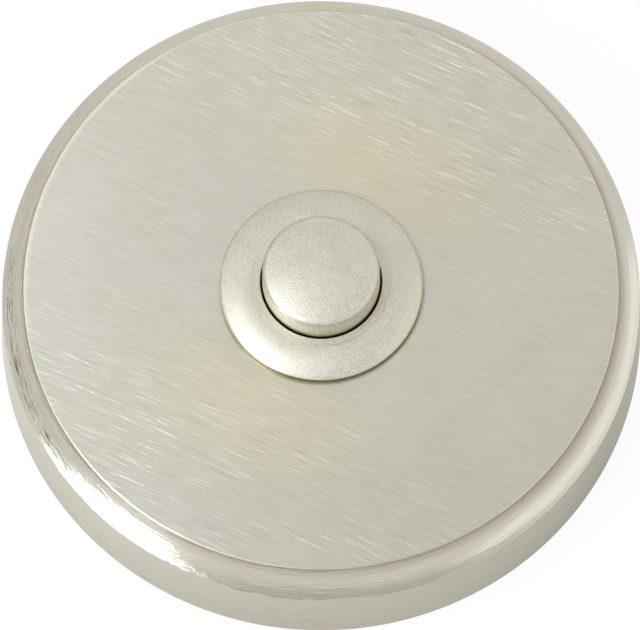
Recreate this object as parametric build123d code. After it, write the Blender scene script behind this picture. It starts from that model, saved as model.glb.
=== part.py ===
"""Round bell push for a door frame: a brushed cover, a bezel, a sprung button and its contacts.

Millimetres. The origin is the centre of the back face, on the wall. +Z points out of the wall, along the
button's axis. +X runs along the brushed grain of the face, and -X is the underside when it is fixed.
"""

import os
from math import cos, pi, sqrt

from build123d import *

# Cover: a hollow forged disc with a cove round its face
cover_diameter = 66.7
cover_height = 12.3
side_taper = 0.35
cove_width = 2.3
cove_radius = 3.0
face_wall = 2.6
skirt_wall = 3.4
cavity_round = 3.0
face_edge_round = 0.25
lip_edge_round = 0.12
rim_edge_round = 0.3

# Button: a turned cap that slides in the bezel
button_diameter = 12.1
button_rise = 4.9
button_travel = 2.0
button_skin = 2.0
button_wall = 1.1
crown_height = 0.85
crown_round = 0.7
shoulder_width = 0.55
shoulder_height = 1.2
guide_depth = 0.7

# Bezel: a domed flange and the barrel behind it, turned in one piece
bezel_overhang = 2.51
bezel_edge_height = 0.7
bezel_dome_rise = 0.84
land_width = 0.8
land_step = 0.1
land_edge_break = 0.06
barrel_wall = 0.9
seat_step = 0.3
crimp_height = 0.4
crimp_width = 0.55

# Seal, washer and nut that clamp the bezel to the cover
seal_thickness = 0.5
seal_margin = 0.6
washer_thickness = 0.6
washer_width = 2.9
washer_tooth_count = 12
washer_tooth_depth = 1.3
washer_tooth_gap = 1.6
nut_thickness = 3.0
nut_wall = 2.05
nut_chamfer = 0.6

# Plunger and the contact disc staked on it
plunger_cap = 1.4
collar_height = 1.2
stem_diameter = 8.6
stake_width = 0.5
stake_height = 0.8
disc_thickness = 0.5
disc_margin = 0.5

# Return spring, as wide as the two contacts leave room for
spring_wire = 0.5
spring_turns = 5

# Terminal base, its two contacts and their screws
base_thickness = 2.2
boss_height = 1.6
rib_width = 1.2
rib_height = 1.2
rib_margin = 0.7
contact_thickness = 0.4
contact_width = 4.4
contact_lug_width = 3.6
contact_bend = 0.3
contact_margin = 0.65
contact_end_margin = 0.35
stake_clearance = 0.5
terminal_margin = 0.2
terminal_screw_diameter = 2.5
terminal_head_diameter = 4.4
terminal_head_height = 1.4
terminal_head_round = 0.4
terminal_slot_width = 0.6
terminal_slot_depth = 0.7
terminal_tip = 0.1
terminal_washer_thickness = 0.4

# Mounting plate: a shallow pressed dish that the cover slides over
plate_thickness = 1.2
plate_rim_height = 5.0
plate_bend = 0.8
plate_clearance = 0.3
wire_room = 2.5
wall_screw_spacing = 42.0
wall_slot_width = 4.2
wall_slot_length = 8.4

# Set screw through the skirt
set_screw_diameter = 3.0
set_screw_length = 3.2
set_screw_height = 3.1
set_screw_chamfer = 0.5
set_screw_socket = 1.5

# Clearances, all radial
bore_clearance = 0.24
running_clearance = 0.15
press_clearance = 0.02
slip_clearance = 0.05
thread_clearance = 0.05
spring_clearance = 0.25

# Radii, from the button outwards
button_radius = button_diameter / 2
bore_radius = button_radius + bore_clearance
shoulder_radius = button_radius + shoulder_width
chamber_radius = shoulder_radius + running_clearance
seat_radius = chamber_radius + seat_step
barrel_radius = seat_radius + barrel_wall
bezel_radius = barrel_radius + bezel_overhang
land_radius = bore_radius + land_width
pocket_radius = button_radius - button_wall
stem_radius = stem_diameter / 2
stake_radius = stem_radius + stake_width
disc_radius = chamber_radius - disc_margin
crimp_radius = seat_radius - crimp_width
terminal_offset = crimp_radius - terminal_head_diameter / 2 - terminal_margin
terminal_hole_radius = terminal_screw_diameter / 2 + thread_clearance
contact_start_radius = terminal_offset - terminal_hole_radius - contact_end_margin
spring_radius = contact_start_radius - spring_clearance
nut_flat_radius = barrel_radius + nut_wall
nut_corner_radius = nut_flat_radius / cos(pi / 6)

# Radii of the cover and the plate, from the outside inwards
base_radius = cover_diameter / 2
lip_radius = base_radius - side_taper
face_radius = lip_radius - cove_width
cavity_radius = base_radius - skirt_wall
plate_radius = cavity_radius - plate_clearance
plate_hole_radius = nut_corner_radius + wire_room

# Heights, from the face down to the wall
face_z = cover_height
lip_z = face_z - sqrt(cove_radius**2 - (cove_radius - cove_width) ** 2)
web_z = face_z - face_wall
washer_z = web_z - washer_thickness
nut_z = washer_z - nut_thickness
stop_z = face_z - guide_depth
shoulder_z = stop_z - shoulder_height
collar_z = shoulder_z - collar_height
disc_z = collar_z - disc_thickness
stake_z = disc_z - stake_height
contact_tip_z = disc_z - button_travel
contact_top_z = stake_z - button_travel - stake_clearance
base_front_z = contact_top_z - contact_thickness
base_rear_z = base_front_z - base_thickness
barrel_rear_z = base_rear_z - crimp_height
terminal_head_z = base_rear_z - terminal_washer_thickness

# Heights above the face
crown_z = face_z + button_rise
pocket_z = crown_z - button_skin
spring_top_z = pocket_z - plunger_cap
bezel_edge_z = face_z + bezel_edge_height
dome_top_z = bezel_edge_z + bezel_dome_rise
land_z = dome_top_z + land_step

TERMINAL_SIDES = (1, -1)


def turned(outline):
    """A solid of revolution about Z. The outline is edges in radius and height."""
    return revolve(Plane.XZ * make_face(outline), Axis.Z)


def ring(outer_radius, inner_radius, bottom, top):
    """A plain ring between two heights."""
    return turned(
        Polyline(
            (inner_radius, bottom),
            (outer_radius, bottom),
            (outer_radius, top),
            (inner_radius, top),
            close=True,
        ).edges()
    )


def rod(radius, bottom, top):
    """A plain cylinder on Z between two heights."""
    return Pos(0, 0, (bottom + top) / 2) * Cylinder(radius, top - bottom)


def block(x_size, y_size, bottom, top):
    """A box centred on Z between two heights."""
    return Pos(0, 0, (bottom + top) / 2) * Box(x_size, y_size, top - bottom)


def rounded_at(sketch, radius, height, round_radius):
    """The sketch with its corner at that radius and height rounded."""
    corner = sketch.vertices().sort_by_distance((radius, height, 0))[0]
    return fillet(corner, round_radius)


def cover():
    """The hollow disc: flat face, cove, tapered skirt, bored for the barrel and tapped for the set screw."""
    hole_radius = barrel_radius + slip_clearance
    outline = Polyline(
        (hole_radius, web_z),
        (cavity_radius, web_z),
        (cavity_radius, 0),
        (base_radius, 0),
        (lip_radius, lip_z),
    )
    cove = RadiusArc((lip_radius, lip_z), (face_radius, face_z), cove_radius)
    face = Polyline((face_radius, face_z), (hole_radius, face_z), (hole_radius, web_z))
    section = make_face([*outline.edges(), *cove.edges(), *face.edges()])
    section = rounded_at(section, cavity_radius, web_z, cavity_round)
    section = rounded_at(section, base_radius, 0, rim_edge_round)
    section = rounded_at(section, lip_radius, lip_z, lip_edge_round)
    section = rounded_at(section, face_radius, face_z, face_edge_round)
    body = revolve(Plane.XZ * section, Axis.Z)
    return body - set_screw_axis() * rod(set_screw_diameter / 2 + thread_clearance, 0, skirt_wall * 2)


def set_screw_axis():
    """The place of the set screw: its tip on the plate's rim, its Z axis outwards on the underside."""
    return Pos(-plate_radius, 0, set_screw_height) * Rot(0, -90, 0)


def bezel():
    """The domed flange, the flat land round its bore, and the barrel with its rear edge crimped in."""
    dome_width = bezel_radius - land_radius
    dome_radius = (dome_width**2 + bezel_dome_rise**2) / (2 * bezel_dome_rise)
    dome = RadiusArc((bezel_radius, bezel_edge_z), (land_radius, dome_top_z), -dome_radius)
    rest = Polyline(
        (land_radius, dome_top_z),
        (land_radius, land_z),
        (bore_radius + land_edge_break, land_z),
        (bore_radius, land_z - land_edge_break),
        (bore_radius, stop_z),
        (chamber_radius, stop_z),
        (chamber_radius, base_front_z),
        (seat_radius, base_front_z),
        (seat_radius, base_rear_z),
        (crimp_radius, base_rear_z),
        (crimp_radius, barrel_rear_z),
        (barrel_radius, barrel_rear_z),
        (barrel_radius, face_z),
        (bezel_radius, face_z),
        (bezel_radius, bezel_edge_z),
    )
    body = turned([*dome.edges(), *rest.edges()])
    return body - ring(*seal_radii(), face_z, face_z + seal_thickness)


def seal_radii():
    """Outer and inner radius of the seal's groove under the flange."""
    return bezel_radius - seal_margin, barrel_radius + seal_margin


def bezel_seal():
    """The flat rubber ring in the groove under the bezel's flange."""
    outer, inner = seal_radii()
    return ring(outer - slip_clearance, inner + slip_clearance, face_z, face_z + seal_thickness)


def lock_washer():
    """The lock washer behind the face, with teeth on its inner edge."""
    inner = barrel_radius + slip_clearance
    flat = ring(barrel_radius + washer_width, inner, washer_z, web_z)
    gap = Pos(inner, 0, 0) * block(2 * washer_tooth_depth, washer_tooth_gap, washer_z, web_z)
    return flat - [Rot(0, 0, i * 360 / washer_tooth_count) * gap for i in range(washer_tooth_count)]


def lock_nut():
    """The thin hexagonal nut, with its corners chamfered on the rear."""
    hexagon = extrude(RegularPolygon(nut_corner_radius, 6), nut_thickness)
    blank = Pos(0, 0, nut_z) * hexagon
    chamfered = rod(nut_corner_radius, nut_z, washer_z)
    rear_edge = chamfered.edges().sort_by(Axis.Z)[0]
    chamfered = chamfer(rear_edge, nut_chamfer)
    return (blank & chamfered) - rod(barrel_radius + thread_clearance, nut_z, washer_z)


def button():
    """The turned cap: crowned top, straight side, a shoulder that stops it, and a pocket for the plunger."""
    top_z = crown_z + crown_height
    stem = rod(button_radius, stop_z, top_z) + rod(shoulder_radius, shoulder_z, stop_z)
    crown_radius = (button_radius**2 + crown_height**2) / (2 * crown_height)
    crowned = stem & Pos(0, 0, top_z - crown_radius) * Sphere(crown_radius)
    rim = crowned.edges().filter_by(GeomType.CIRCLE).sort_by_distance((button_radius, 0, crown_z))[0]
    crowned = fillet(rim, crown_round)
    return crowned - rod(pocket_radius, shoulder_z, pocket_z)


def plunger():
    """The insulating plunger pressed into the button, bored for the spring and staked over the disc."""
    spigot_radius = pocket_radius - press_clearance
    collar_radius = shoulder_radius - slip_clearance
    outline = Polyline(
        (0, pocket_z),
        (spigot_radius, pocket_z),
        (spigot_radius, shoulder_z),
        (collar_radius, shoulder_z),
        (collar_radius, collar_z),
        (stem_radius, collar_z),
        (stem_radius, disc_z),
        (stake_radius, disc_z),
        (stake_radius, stake_z),
        (spring_radius + spring_clearance, stake_z),
        (spring_radius + spring_clearance, spring_top_z),
        (0, spring_top_z),
        close=True,
    )
    return turned(outline.edges())


def contact_disc():
    """The ring that bridges the two contacts when the button is pressed."""
    return ring(disc_radius, stem_radius + slip_clearance, disc_z, collar_z)


def return_spring():
    """The coil spring between the base and the plunger, its ends ground flat."""
    coil_radius = spring_radius - spring_wire / 2
    height = spring_top_z - base_front_z
    path = Helix(pitch=height / spring_turns, height=height, radius=coil_radius)
    coil = sweep(Plane(path @ 0, z_dir=path % 0) * Circle(spring_wire / 2), path=path)
    return (Pos(0, 0, base_front_z) * coil) & rod(2 * spring_radius, base_front_z, spring_top_z)


def terminal_place(side):
    """The place of one terminal: on its own side of the base, facing outwards."""
    return Pos(side * terminal_offset, 0, 0)


def terminal_base():
    """The moulded disc crimped into the barrel: spring boss in front, a rib between the terminals behind."""
    disc = rod(seat_radius - slip_clearance, base_rear_z, base_front_z)
    boss_radius = spring_radius - spring_wire - running_clearance
    boss = rod(boss_radius, base_front_z, base_front_z + boss_height)
    rib_length = 2 * (crimp_radius - rib_margin)
    rib = block(rib_width, rib_length, base_rear_z - rib_height, base_rear_z)
    hole = rod(terminal_screw_diameter / 2 + slip_clearance, base_rear_z, base_front_z)
    return disc + boss + rib - [terminal_place(side) * hole for side in TERMINAL_SIDES]


def contact(side):
    """One fixed contact: a bent strip, tapped for its screw, with a lug that meets the disc."""
    lug_outside = chamber_radius - contact_margin
    lug_inside = lug_outside - contact_thickness
    bend = Polyline(
        (contact_start_radius, base_front_z),
        (lug_outside, base_front_z),
        (lug_outside, contact_tip_z),
        (lug_inside, contact_tip_z),
        (lug_inside, contact_top_z),
        (contact_start_radius, contact_top_z),
        close=True,
    )
    section = make_face(bend.edges())
    section = rounded_at(section, lug_outside, base_front_z, contact_bend + contact_thickness)
    section = rounded_at(section, lug_inside, contact_top_z, contact_bend)
    strip = extrude(Plane.XZ * section, contact_width / 2, both=True)
    trim = (contact_width - contact_lug_width) / 2
    for end in (1, -1):
        relief = Pos(lug_outside, end * contact_width / 2, 0) * block(
            2 * (contact_thickness + contact_bend), 2 * trim, contact_top_z + contact_bend, contact_tip_z
        )
        strip -= relief
    tapping = rod(terminal_hole_radius, base_front_z, contact_top_z)
    strip -= Pos(terminal_offset, 0, 0) * tapping
    return Rot(0, 0, 0 if side > 0 else 180) * strip


def terminal_screws():
    """The two slotted screws that clamp the bell wires and hold the contacts."""
    shank = rod(terminal_screw_diameter / 2, terminal_head_z, contact_top_z + terminal_tip)
    head_bottom_z = terminal_head_z - terminal_head_height
    head = rod(terminal_head_diameter / 2, head_bottom_z, terminal_head_z)
    head = fillet(head.edges().sort_by(Axis.Z)[0], terminal_head_round)
    slot = block(
        terminal_slot_width, terminal_head_diameter, head_bottom_z, head_bottom_z + terminal_slot_depth
    )
    screw = head + shank - slot
    return Compound([terminal_place(side) * screw for side in TERMINAL_SIDES])


def terminal_washers():
    """The two washers under the screw heads."""
    hole_radius = terminal_screw_diameter / 2 + slip_clearance
    washer = ring(terminal_head_diameter / 2, hole_radius, terminal_head_z, base_rear_z)
    return Compound([terminal_place(side) * washer for side in TERMINAL_SIDES])


def mounting_plate():
    """The pressed steel dish on the wall: an upturned rim, a wire hole and two radial screw slots."""
    rim_inside = plate_radius - plate_thickness
    dish = Polyline(
        (plate_hole_radius, 0),
        (plate_radius, 0),
        (plate_radius, plate_rim_height),
        (rim_inside, plate_rim_height),
        (rim_inside, plate_thickness),
        (plate_hole_radius, plate_thickness),
        close=True,
    )
    section = make_face(dish.edges())
    section = rounded_at(section, plate_radius, 0, plate_bend + plate_thickness)
    section = rounded_at(section, rim_inside, plate_thickness, plate_bend)
    plate = revolve(Plane.XZ * section, Axis.Z)
    slot = extrude(SlotOverall(wall_slot_length, wall_slot_width, rotation=90), plate_thickness)
    return plate - [Pos(0, end * wall_screw_spacing / 2, 0) * slot for end in (1, -1)]


def set_screw():
    """The headless screw in the skirt that grips the plate's rim, with a hexagon socket."""
    blank = rod(set_screw_diameter / 2, 0, set_screw_length)
    blank = chamfer(blank.edges().sort_by(Axis.Z)[0], set_screw_chamfer)
    socket = extrude(RegularPolygon(set_screw_socket / 2, 6, major_radius=False), set_screw_socket)
    return set_screw_axis() * (blank - Pos(0, 0, set_screw_length - set_screw_socket) * socket)


PIECES = {
    "cover": cover(),
    "bezel": bezel(),
    "bezel_seal": bezel_seal(),
    "lock_washer": lock_washer(),
    "lock_nut": lock_nut(),
    "button": button(),
    "plunger": plunger(),
    "contact_disc": contact_disc(),
    "return_spring": return_spring(),
    "terminal_base": terminal_base(),
    "right_contact": contact(1),
    "left_contact": contact(-1),
    "terminal_screws": terminal_screws(),
    "terminal_washers": terminal_washers(),
    "mounting_plate": mounting_plate(),
    "set_screw": set_screw(),
}

os.makedirs("parts", exist_ok=True)
for name, piece in PIECES.items():
    export_step(piece, f"parts/{name}.step")
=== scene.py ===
import math

import bmesh
import bpy
from mathutils import Matrix, Quaternion, Vector


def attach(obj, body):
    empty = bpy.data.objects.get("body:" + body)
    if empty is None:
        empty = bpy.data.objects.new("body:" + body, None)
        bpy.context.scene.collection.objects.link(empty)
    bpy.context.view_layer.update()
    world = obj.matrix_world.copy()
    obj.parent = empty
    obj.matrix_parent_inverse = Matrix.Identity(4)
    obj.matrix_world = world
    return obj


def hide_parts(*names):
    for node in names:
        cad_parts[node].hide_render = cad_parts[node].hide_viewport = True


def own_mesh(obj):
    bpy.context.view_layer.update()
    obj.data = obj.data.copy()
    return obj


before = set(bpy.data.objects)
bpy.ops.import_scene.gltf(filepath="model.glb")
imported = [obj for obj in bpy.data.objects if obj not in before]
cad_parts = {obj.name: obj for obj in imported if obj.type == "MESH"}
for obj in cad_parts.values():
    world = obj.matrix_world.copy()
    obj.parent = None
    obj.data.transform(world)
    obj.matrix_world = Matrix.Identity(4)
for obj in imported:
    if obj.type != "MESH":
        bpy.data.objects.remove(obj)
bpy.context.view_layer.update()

# COVER
# A hollow disc forged in brass and plated in satin nickel. Its flat face is linished in straight lines
# along X. The cove round the face and the tapered skirt are brushed while the cover turns on a spindle.
MM = 0.001
FULL_TURN = 2 * math.pi
HALF_TURN = math.pi
QUARTER_TURN = math.pi / 2
COVER_BASE_R = 33.345
COVER_LIP_R = 33.0
COVER_HEIGHT = 12.3
COVE_WIDTH = 2.3
COVE_R = 3.0
COVER_HOLE_R = 8.0
CAVITY_R = 29.95
CAVITY_ROUND = 3.0
WEB_Z = 9.7
FACE_EDGE_ROUND = 0.12
LIP_EDGE_ROUND = 0.12
RIM_EDGE_ROUND = 0.3
COVER_STEPS = 360
FACE_EDGE_STEPS = 8
COVE_STEPS = 40
LIP_STEPS = 6
RIM_STEPS = 6
CAVITY_STEPS = 12
SET_SCREW_Z = 3.1
SET_SCREW_HOLE_R = 1.55
DRILL_PAST_WALL = 2.0


def arc_points(centre, radius, start, end, steps):
    """Points of an arc about a (radius, height) centre, angles in radians."""
    angles = [start + (end - start) * step / steps for step in range(steps + 1)]
    return [(centre[0] + radius * math.cos(a), centre[1] + radius * math.sin(a)) for a in angles]


def turned_mesh(name, outline, steps, closed=True, sharp_angle=math.radians(25)):
    """A mesh turned about Z from (radius, height) points in millimetres, with its hard edges marked."""
    turned = bmesh.new()
    angles = [FULL_TURN * step / steps for step in range(steps)]
    rings = []
    for radius, height in outline:
        if radius == 0:
            rings.append([turned.verts.new((0, 0, height * MM))] * steps)
        else:
            around = [(radius * math.cos(a), radius * math.sin(a), height) for a in angles]
            rings.append([turned.verts.new(Vector(place) * MM) for place in around])
    pairs = list(zip(rings, rings[1:] + rings[:1]))
    for low, high in pairs if closed else pairs[:-1]:
        for step in range(steps):
            after = (step + 1) % steps
            corners = dict.fromkeys((low[step], low[after], high[after], high[step]))
            turned.faces.new(list(corners)).smooth = True
    bmesh.ops.recalc_face_normals(turned, faces=turned.faces)
    for edge in turned.edges:
        edge.smooth = edge.calc_face_angle() < sharp_angle
    data = bpy.data.meshes.new(name)
    turned.to_mesh(data)
    turned.free()
    return data


def placed(name, data):
    """An object at the origin that shows the mesh."""
    piece = bpy.data.objects.new(name, data)
    bpy.context.scene.collection.objects.link(piece)
    return piece


def plain_mesh(piece):
    """The piece with its modifiers made into its own mesh."""
    graph = bpy.context.evaluated_depsgraph_get()
    finished = bpy.data.meshes.new_from_object(piece.evaluated_get(graph))
    piece.modifiers.clear()
    piece.data = finished


def rod_mesh(radius, start, end, steps=64):
    """A closed rod between two points, in millimetres."""
    rod = bmesh.new()
    run = (Vector(end) - Vector(start)) * MM
    middle = (Vector(end) + Vector(start)) * MM / 2
    turn = Vector((0, 0, 1)).rotation_difference(run).to_matrix().to_4x4()
    bmesh.ops.create_cone(
        rod, cap_ends=True, segments=steps, radius1=radius * MM, radius2=radius * MM,
        depth=run.length, matrix=Matrix.Translation(middle) @ turn,
    )
    data = bpy.data.meshes.new("rod")
    rod.to_mesh(data)
    rod.free()
    return data


def cut_away(piece, cutter_mesh):
    """Cuts a closed mesh out of the piece."""
    cutter = placed("cutter", cutter_mesh)
    cut = piece.modifiers.new("cut", "BOOLEAN")
    cut.operation = "DIFFERENCE"
    cut.solver = "EXACT"
    cut.object = cutter
    plain_mesh(piece)
    bpy.data.objects.remove(cutter)


cove_start_r = COVER_LIP_R - COVE_WIDTH
cove_centre = (cove_start_r + COVE_R, COVER_HEIGHT)
face_edge_reach = math.sqrt(COVE_R**2 + 2 * COVE_R * FACE_EDGE_ROUND)
face_edge_centre = (cove_centre[0] - face_edge_reach, COVER_HEIGHT - FACE_EDGE_ROUND)
face_edge_end = math.atan2(FACE_EDGE_ROUND, face_edge_reach)
lip_centre_r = COVER_LIP_R - LIP_EDGE_ROUND
lip_reach = cove_centre[0] - lip_centre_r
lip_drop = math.sqrt((COVE_R + LIP_EDGE_ROUND) ** 2 - lip_reach**2)
lip_centre = (lip_centre_r, COVER_HEIGHT - lip_drop)
lip_start = math.atan2(lip_drop, lip_reach)
side_lean = math.atan2(COVER_BASE_R - COVER_LIP_R, COVER_HEIGHT - lip_drop)
rim_centre = (COVER_BASE_R - RIM_EDGE_ROUND / math.tan((QUARTER_TURN - side_lean) / 2), RIM_EDGE_ROUND)
cavity_centre = (CAVITY_R - CAVITY_ROUND, WEB_Z - CAVITY_ROUND)
cover_outline = [
    (COVER_HOLE_R, COVER_HEIGHT),
    *arc_points(face_edge_centre, FACE_EDGE_ROUND, QUARTER_TURN, face_edge_end, FACE_EDGE_STEPS),
    *arc_points(cove_centre, COVE_R, HALF_TURN + face_edge_end, HALF_TURN + lip_start, COVE_STEPS)[1:],
    *arc_points(lip_centre, LIP_EDGE_ROUND, lip_start, side_lean, LIP_STEPS)[1:],
    *arc_points(rim_centre, RIM_EDGE_ROUND, side_lean, -QUARTER_TURN, RIM_STEPS),
    (CAVITY_R, 0),
    *arc_points(cavity_centre, CAVITY_ROUND, 0, QUARTER_TURN, CAVITY_STEPS),
    (COVER_HOLE_R, WEB_Z),
]
cover = placed("cover_shell", turned_mesh("cover_shell", cover_outline, COVER_STEPS))
drill_from = (-CAVITY_R + DRILL_PAST_WALL, 0, SET_SCREW_Z)
drill_to = (-COVER_BASE_R - DRILL_PAST_WALL, 0, SET_SCREW_Z)
cut_away(cover, rod_mesh(SET_SCREW_HOLE_R, drill_from, drill_to))


def add_node(tree, kind, settings=None, inputs=None):
    """A node with its settings made and its inputs set or linked."""
    made = tree.nodes.new(kind)
    for name, value in (settings or {}).items():
        setattr(made, name, value)
    for name, value in (inputs or {}).items():
        if isinstance(value, bpy.types.NodeSocket):
            tree.links.new(value, made.inputs[name])
        else:
            made.inputs[name].default_value = value
    return made


def math_node(tree, operation, first, second=0.0):
    """One sum, and its result."""
    return add_node(tree, "ShaderNodeMath", {"operation": operation}, {0: first, 1: second}).outputs[0]


def product(tree, first, *others):
    """Several values or masks multiplied together."""
    for other in others:
        first = math_node(tree, "MULTIPLY", first, other)
    return first


def vector_node(tree, operation, first, second=(0, 0, 0)):
    """One sum of vectors, and its result."""
    return add_node(tree, "ShaderNodeVectorMath", {"operation": operation}, {0: first, 1: second}).outputs[0]


def dot_product(tree, first, second):
    """How far one vector reaches along another."""
    dot = add_node(tree, "ShaderNodeVectorMath", {"operation": "DOT_PRODUCT"}, {0: first, 1: second})
    return dot.outputs["Value"]


def length_of(tree, vector):
    """The length of a vector."""
    return add_node(tree, "ShaderNodeVectorMath", {"operation": "LENGTH"}, {0: vector}).outputs["Value"]


def parts_of(tree, vector):
    """The X, Y and Z parts of a vector."""
    return add_node(tree, "ShaderNodeSeparateXYZ", None, {0: vector}).outputs


def joined(tree, x, y, z=0.0):
    """A vector of three parts."""
    return add_node(tree, "ShaderNodeCombineXYZ", None, {0: x, 1: y, 2: z}).outputs[0]


def smooth_step(tree, value, span, ends=(0.0, 1.0)):
    """The value, mapped smoothly from a span to what it becomes at the two ends of the span."""
    step = add_node(
        tree, "ShaderNodeMapRange", {"interpolation_type": "SMOOTHSTEP"},
        {"Value": value, "From Min": span[0], "From Max": span[1], "To Min": ends[0], "To Max": ends[1]},
    )
    return step.outputs[0]


def new_group(name, inputs, outputs):
    """An empty shader group with sockets for its inputs and its output values, and its two end nodes."""
    group = bpy.data.node_groups.new(name, "ShaderNodeTree")
    for label, kind in inputs:
        group.interface.new_socket(label, in_out="INPUT", socket_type=kind)
    for label in outputs:
        group.interface.new_socket(label, in_out="OUTPUT", socket_type="NodeSocketFloat")
    return group, group.nodes.new("NodeGroupInput"), group.nodes.new("NodeGroupOutput")


def cells_at(tree, place, along, across, seed):
    """A place in millimetres counted in cells along and across the grain, apart from others by its seed."""
    cells = vector_node(tree, "MULTIPLY", place, (along, across, along))
    return vector_node(tree, "ADD", cells, (seed, seed, seed))


def noise_at(tree, place, along, across, detail, seed):
    """Noise with that many cells to the millimetre along and across the grain."""
    cells = cells_at(tree, place, along, across, seed)
    noise = add_node(
        tree, "ShaderNodeTexNoise", None,
        {"Vector": cells, "Scale": 1.0, "Detail": detail, "Roughness": 0.55},
    )
    return noise.outputs["Fac"]


STROKE_TAPER = (0.04, 0.36)


def strokes_at(tree, place, along, across, share, seed):
    """Separate tapered strokes: one in the middle of each of a share of the drawn-out cells."""
    cells = cells_at(tree, place, along, across, seed)
    cell = add_node(tree, "ShaderNodeTexVoronoi", {"feature": "F1"}, {"Vector": cells, "Scale": 1.0})
    draw = add_node(tree, "ShaderNodeSeparateColor", None, {0: cell.outputs["Color"]}).outputs[0]
    chosen = smooth_step(tree, draw, (1 - share, 1.0))
    return product(tree, chosen, smooth_step(tree, cell.outputs["Distance"], STROKE_TAPER, (1.0, 0.0)))


# The marks of an abrasive belt that runs along X: fine lines, then single strokes, bright streaks and dark
# gouges that come in patches, and a slow drift of tone. The bright strokes and streaks are painted glints.
WAVER = 0.9
SCRATCH_SHARE = 0.8
SHORT_STROKE_STRENGTH = 0.55
SKIP_SPAN = (0.38, 0.62)
FAINTEST_SKIP = 0.1
PATCH_SPAN = (0.36, 0.62)
FAINTEST_PATCH = 0.55
STREAK_SPAN = (0.58, 0.75)
GOUGE_SPAN = (0.28, 0.44)
brushing, brush_in, brush_out = new_group(
    "belt_brushing", [("Grain", "NodeSocketVector")], ("Lines", "Strokes", "Streaks", "Gouges", "Tone")
)
straight_grain = brush_in.outputs["Grain"]
waver = noise_at(brushing, straight_grain, along=0.03, across=0.05, detail=1.0, seed=5.3)
sideways = joined(brushing, 0.0, product(brushing, waver, WAVER))
grain = vector_node(brushing, "ADD", straight_grain, sideways)
scratches = noise_at(brushing, grain, along=0.24, across=4.4, detail=2.0, seed=3.1)
tooth = noise_at(brushing, grain, along=3.0, across=3.6, detail=1.0, seed=71.5)
lines = math_node(
    brushing, "ADD",
    product(brushing, scratches, SCRATCH_SHARE), product(brushing, tooth, 1 - SCRATCH_SHARE),
)
short_strokes = product(
    brushing, strokes_at(brushing, grain, along=0.20, across=4.6, share=0.60, seed=27.3),
    SHORT_STROKE_STRENGTH,
)
long_strokes = strokes_at(brushing, grain, along=0.11, across=4.6, share=0.60, seed=63.8)
skips = noise_at(brushing, grain, along=0.9, across=1.5, detail=1.0, seed=88.2)
skipping = product(brushing, long_strokes, smooth_step(brushing, skips, SKIP_SPAN, (FAINTEST_SKIP, 1.0)))
patches = smooth_step(
    brushing, noise_at(brushing, grain, along=0.06, across=0.13, detail=1.0, seed=41.9),
    PATCH_SPAN, (FAINTEST_PATCH, 1.0),
)
strokes = product(brushing, math_node(brushing, "MAXIMUM", short_strokes, skipping), patches)
drawn = noise_at(brushing, grain, along=0.20, across=4.0, detail=2.5, seed=19.4)
streaks = product(brushing, smooth_step(brushing, drawn, STREAK_SPAN), patches)
gouges = product(brushing, smooth_step(brushing, drawn, GOUGE_SPAN, (1.0, 0.0)), patches)
tone = noise_at(brushing, straight_grain, along=0.05, across=0.05, detail=2.0, seed=11.7)
for label, mark in (
    ("Lines", lines), ("Strokes", strokes), ("Streaks", streaks), ("Gouges", gouges), ("Tone", tone)
):
    brushing.links.new(mark, brush_out.inputs[label])


def brush_marks(tree, grain):
    """The marks of the belt in a material, on a grain in millimetres."""
    return add_node(tree, "ShaderNodeGroup", {"node_tree": brushing}, {"Grain": grain}).outputs


def new_material(name, metallic, **constants):
    """A material, its tree and its Principled shader, with the plain values set on the shader."""
    material = bpy.data.materials.new(name)
    material.use_nodes = True
    tree = material.node_tree
    shader = tree.nodes["Principled BSDF"]
    shader.inputs["Metallic"].default_value = metallic
    for label, value in constants.items():
        shader.inputs[label.replace("_", " ")].default_value = value
    return material, tree, shader


def mixed(tree, factor, low, high):
    """A colour between two colours or links."""
    blend = add_node(tree, "ShaderNodeMix", {"data_type": "RGBA"}, {"Factor": factor})
    for index, value in ((6, low), (7, high)):
        if isinstance(value, bpy.types.NodeSocket):
            tree.links.new(value, blend.inputs[index])
        else:
            blend.inputs[index].default_value = (*value, 1.0)
    return blend.outputs[2]


def raised(tree, shader, height, depth):
    """Gives the shader a relief of that depth in millimetres."""
    relief = add_node(
        tree, "ShaderNodeBump", None, {"Height": height, "Strength": 1.0, "Distance": depth * MM}
    )
    tree.links.new(relief.outputs[0], shader.inputs["Normal"])


TONE_SHARE = 0.4
SHADE_SPAN = (0.3, 1.1)
LINE_SPAN = (0.2, 0.8)
LINE_ROUGHNESS = 0.02
STREAK_STRENGTH = 0.55
GOUGE_SHADE = 0.92
LINES_IN_FURROWS = 0.25


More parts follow.
